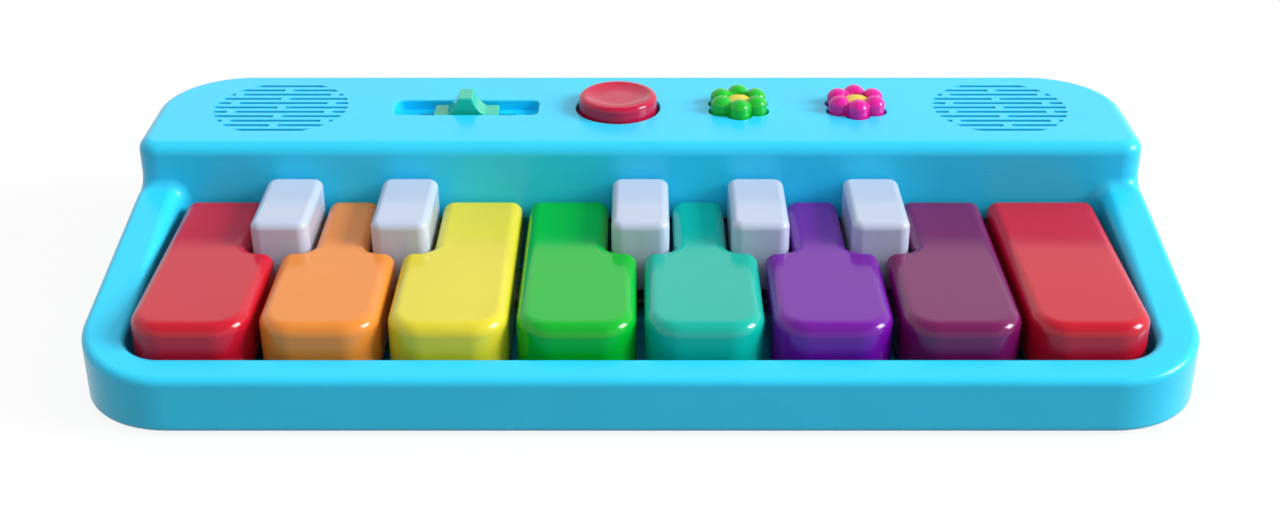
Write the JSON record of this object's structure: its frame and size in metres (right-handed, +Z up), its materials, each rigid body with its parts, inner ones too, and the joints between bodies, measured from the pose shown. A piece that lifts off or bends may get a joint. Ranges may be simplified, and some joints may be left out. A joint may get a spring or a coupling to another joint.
{
  "type": "toy piano",
  "caption": "Toddler's toy piano: sprung coloured keys in a blue wedge-shaped case whose console holds a slider, push buttons and two slotted speaker grilles.",
  "frame": {"origin": "on the table under the middle of the case, at the bottom of the rubber feet", "axes": "+X along the keyboard from low notes to high, +Y away from the player, +Z up"},
  "size_m": [0.265, 0.13, 0.043],
  "materials": {
    "case_blue": "polished moulding",
    "base_blue": "fine moulded texture",
    "foot_rubber": "matt",
    "steel": "zinc plated",
    "key_red": "polished moulding",
    "key_orange": "polished moulding",
    "key_yellow": "polished moulding",
    "key_green": "polished moulding",
    "key_teal": "polished moulding",
    "key_purple": "polished moulding",
    "key_plum": "polished moulding",
    "key_white": "polished moulding",
    "button_red": "polished moulding",
    "flower_green": "polished moulding",
    "flower_pink": "polished moulding",
    "flower_yellow": "polished moulding",
    "slider_green": "polished moulding",
    "circuit_board": "solder mask",
    "silicone": "matt",
    "switch_metal": "tinned sheet",
    "switch_lever": "moulded",
    "chip_epoxy": "cured epoxy blob",
    "speaker_frame": "zinc plated sheet",
    "speaker_magnet": "ferrite, matt",
    "speaker_cone": "matt film",
    "cell_jacket": "printed jacket, plain",
    "contact_metal": "nickel plated",
    "wire_red": "insulation",
    "ribbon_grey": "insulation"
  },
  "bodies": {
    "case": {"upper_case": "case_blue", "lower_case": "base_blue", "rubber_feet": "foot_rubber", "key_pivot_rod": "steel", "key_contact_board": "circuit_board", "key_dome_strip": "silicone", "slide_switch_body": "switch_metal", "control_board": "circuit_board", "button_dome_pad": "silicone", "sound_chip": "chip_epoxy", "battery_cells": "cell_jacket", "battery_contacts": "contact_metal", "case_screws": "steel", "control_board_screws": "steel", "speaker_screws": "steel", "speaker_left_wires": "wire_red", "speaker_right_wires": "wire_red", "battery_wires": "wire_red", "key_ribbon": "ribbon_grey", "speaker_left_frame": "speaker_frame", "speaker_left_magnet": "speaker_magnet", "speaker_left_cone": "speaker_cone", "speaker_right_frame": "speaker_frame", "speaker_right_magnet": "speaker_magnet", "speaker_right_cone": "speaker_cone"},
    "key_c_low": {"key_c_low": "key_red"},
    "key_d": {"key_d": "key_orange"},
    "key_e": {"key_e": "key_yellow"},
    "key_f": {"key_f": "key_green"},
    "key_g": {"key_g": "key_teal"},
    "key_a": {"key_a": "key_purple"},
    "key_b": {"key_b": "key_plum"},
    "key_c_high": {"key_c_high": "key_red"},
    "key_c_sharp": {"key_c_sharp": "key_white"},
    "key_d_sharp": {"key_d_sharp": "key_white"},
    "key_f_sharp": {"key_f_sharp": "key_white"},
    "key_g_sharp": {"key_g_sharp": "key_white"},
    "key_a_sharp": {"key_a_sharp": "key_white"},
    "red_button": {"red_button": "button_red"},
    "green_flower": {"green_flower_button": "flower_green", "green_flower_centre": "flower_yellow"},
    "pink_flower": {"pink_flower_button": "flower_pink", "pink_flower_centre": "flower_yellow"},
    "slider": {"slider_knob": "slider_green", "slide_switch_lever": "switch_lever"},
    "battery_door": {"battery_door": "base_blue", "battery_door_screws": "steel"}
  },
  "joints": [
    {"name": "key_c_low_hinge", "type": "hinge", "parent": "case", "child": "key_c_low", "pos_m": [-0.10923, 0.02098, 0.0142], "axis": [1, 0, 0], "range_deg": [0, 2.6], "stiffness_Nm_per_rad": 0.6, "springref_deg": -1.43, "deforming": ["key_dome_strip"]},
    {"name": "key_d_hinge", "type": "hinge", "parent": "case", "child": "key_d", "pos_m": [-0.07537, 0.02098, 0.0142], "axis": [1, 0, 0], "range_deg": [0, 2.6], "stiffness_Nm_per_rad": 0.6, "springref_deg": -1.43, "deforming": ["key_dome_strip"]},
    {"name": "key_e_hinge", "type": "hinge", "parent": "case", "child": "key_e", "pos_m": [-0.04152, 0.02098, 0.0142], "axis": [1, 0, 0], "range_deg": [0, 2.6], "stiffness_Nm_per_rad": 0.6, "springref_deg": -1.43, "deforming": ["key_dome_strip"]},
    {"name": "key_f_hinge", "type": "hinge", "parent": "case", "child": "key_f", "pos_m": [-0.01878, 0.02098, 0.0142], "axis": [1, 0, 0], "range_deg": [0, 2.6], "stiffness_Nm_per_rad": 0.6, "springref_deg": -1.43, "deforming": ["key_dome_strip"]},
    {"name": "key_g_hinge", "type": "hinge", "parent": "case", "child": "key_g", "pos_m": [0.01507, 0.02098, 0.0142], "axis": [1, 0, 0], "range_deg": [0, 2.6], "stiffness_Nm_per_rad": 0.6, "springref_deg": -1.43, "deforming": ["key_dome_strip"]},
    {"name": "key_a_hinge", "type": "hinge", "parent": "case", "child": "key_a", "pos_m": [0.04523, 0.02098, 0.0142], "axis": [1, 0, 0], "range_deg": [0, 2.6], "stiffness_Nm_per_rad": 0.6, "springref_deg": -1.43, "deforming": ["key_dome_strip"]},
    {"name": "key_b_hinge", "type": "hinge", "parent": "case", "child": "key_b", "pos_m": [0.07908, 0.02098, 0.0142], "axis": [1, 0, 0], "range_deg": [0, 2.6], "stiffness_Nm_per_rad": 0.6, "springref_deg": -1.43, "deforming": ["key_dome_strip"]},
    {"name": "key_c_high_hinge", "type": "hinge", "parent": "case", "child": "key_c_high", "pos_m": [0.10552, 0.02098, 0.0142], "axis": [1, 0, 0], "range_deg": [0, 2.6], "stiffness_Nm_per_rad": 0.6, "springref_deg": -1.43, "deforming": ["key_dome_strip"]},
    {"name": "key_c_sharp_hinge", "type": "hinge", "parent": "case", "child": "key_c_sharp", "pos_m": [-0.09045, 0.02098, 0.0142], "axis": [1, 0, 0], "range_deg": [0, 4], "stiffness_Nm_per_rad": 0.2, "springref_deg": -1.72, "deforming": ["key_dome_strip"]},
    {"name": "key_d_sharp_hinge", "type": "hinge", "parent": "case", "child": "key_d_sharp", "pos_m": [-0.0603, 0.02098, 0.0142], "axis": [1, 0, 0], "range_deg": [0, 4], "stiffness_Nm_per_rad": 0.2, "springref_deg": -1.72, "deforming": ["key_dome_strip"]},
    {"name": "key_f_sharp_hinge", "type": "hinge", "parent": "case", "child": "key_f_sharp", "pos_m": [0, 0.02098, 0.0142], "axis": [1, 0, 0], "range_deg": [0, 4], "stiffness_Nm_per_rad": 0.2, "springref_deg": -1.72, "deforming": ["key_dome_strip"]},
    {"name": "key_g_sharp_hinge", "type": "hinge", "parent": "case", "child": "key_g_sharp", "pos_m": [0.03015, 0.02098, 0.0142], "axis": [1, 0, 0], "range_deg": [0, 4], "stiffness_Nm_per_rad": 0.2, "springref_deg": -1.72, "deforming": ["key_dome_strip"]},
    {"name": "key_a_sharp_hinge", "type": "hinge", "parent": "case", "child": "key_a_sharp", "pos_m": [0.0603, 0.02098, 0.0142], "axis": [1, 0, 0], "range_deg": [0, 4], "stiffness_Nm_per_rad": 0.2, "springref_deg": -1.72, "deforming": ["key_dome_strip"]},
    {"name": "red_button_press", "type": "slide", "parent": "case", "child": "red_button", "axis": [0, 0, -1], "range_m": [0, 0.002], "stiffness_N_per_m": 200, "springref_m": -0.001, "deforming": ["button_dome_pad"]},
    {"name": "green_flower_press", "type": "slide", "parent": "case", "child": "green_flower", "axis": [0, 0, -1], "range_m": [0, 0.002], "stiffness_N_per_m": 200, "springref_m": -0.001, "deforming": ["button_dome_pad"]},
    {"name": "pink_flower_press", "type": "slide", "parent": "case", "child": "pink_flower", "axis": [0, 0, -1], "range_m": [0, 0.002], "stiffness_N_per_m": 200, "springref_m": -0.001, "deforming": ["button_dome_pad"]},
    {"name": "slider_slide", "type": "slide", "parent": "case", "child": "slider", "axis": [1, 0, 0], "range_m": [-0.0099, 0.0099]},
    {"name": "battery_door_lift", "type": "slide", "parent": "case", "child": "battery_door", "axis": [0, 0, -1], "range_m": [0, 0.012]}
  ]
}
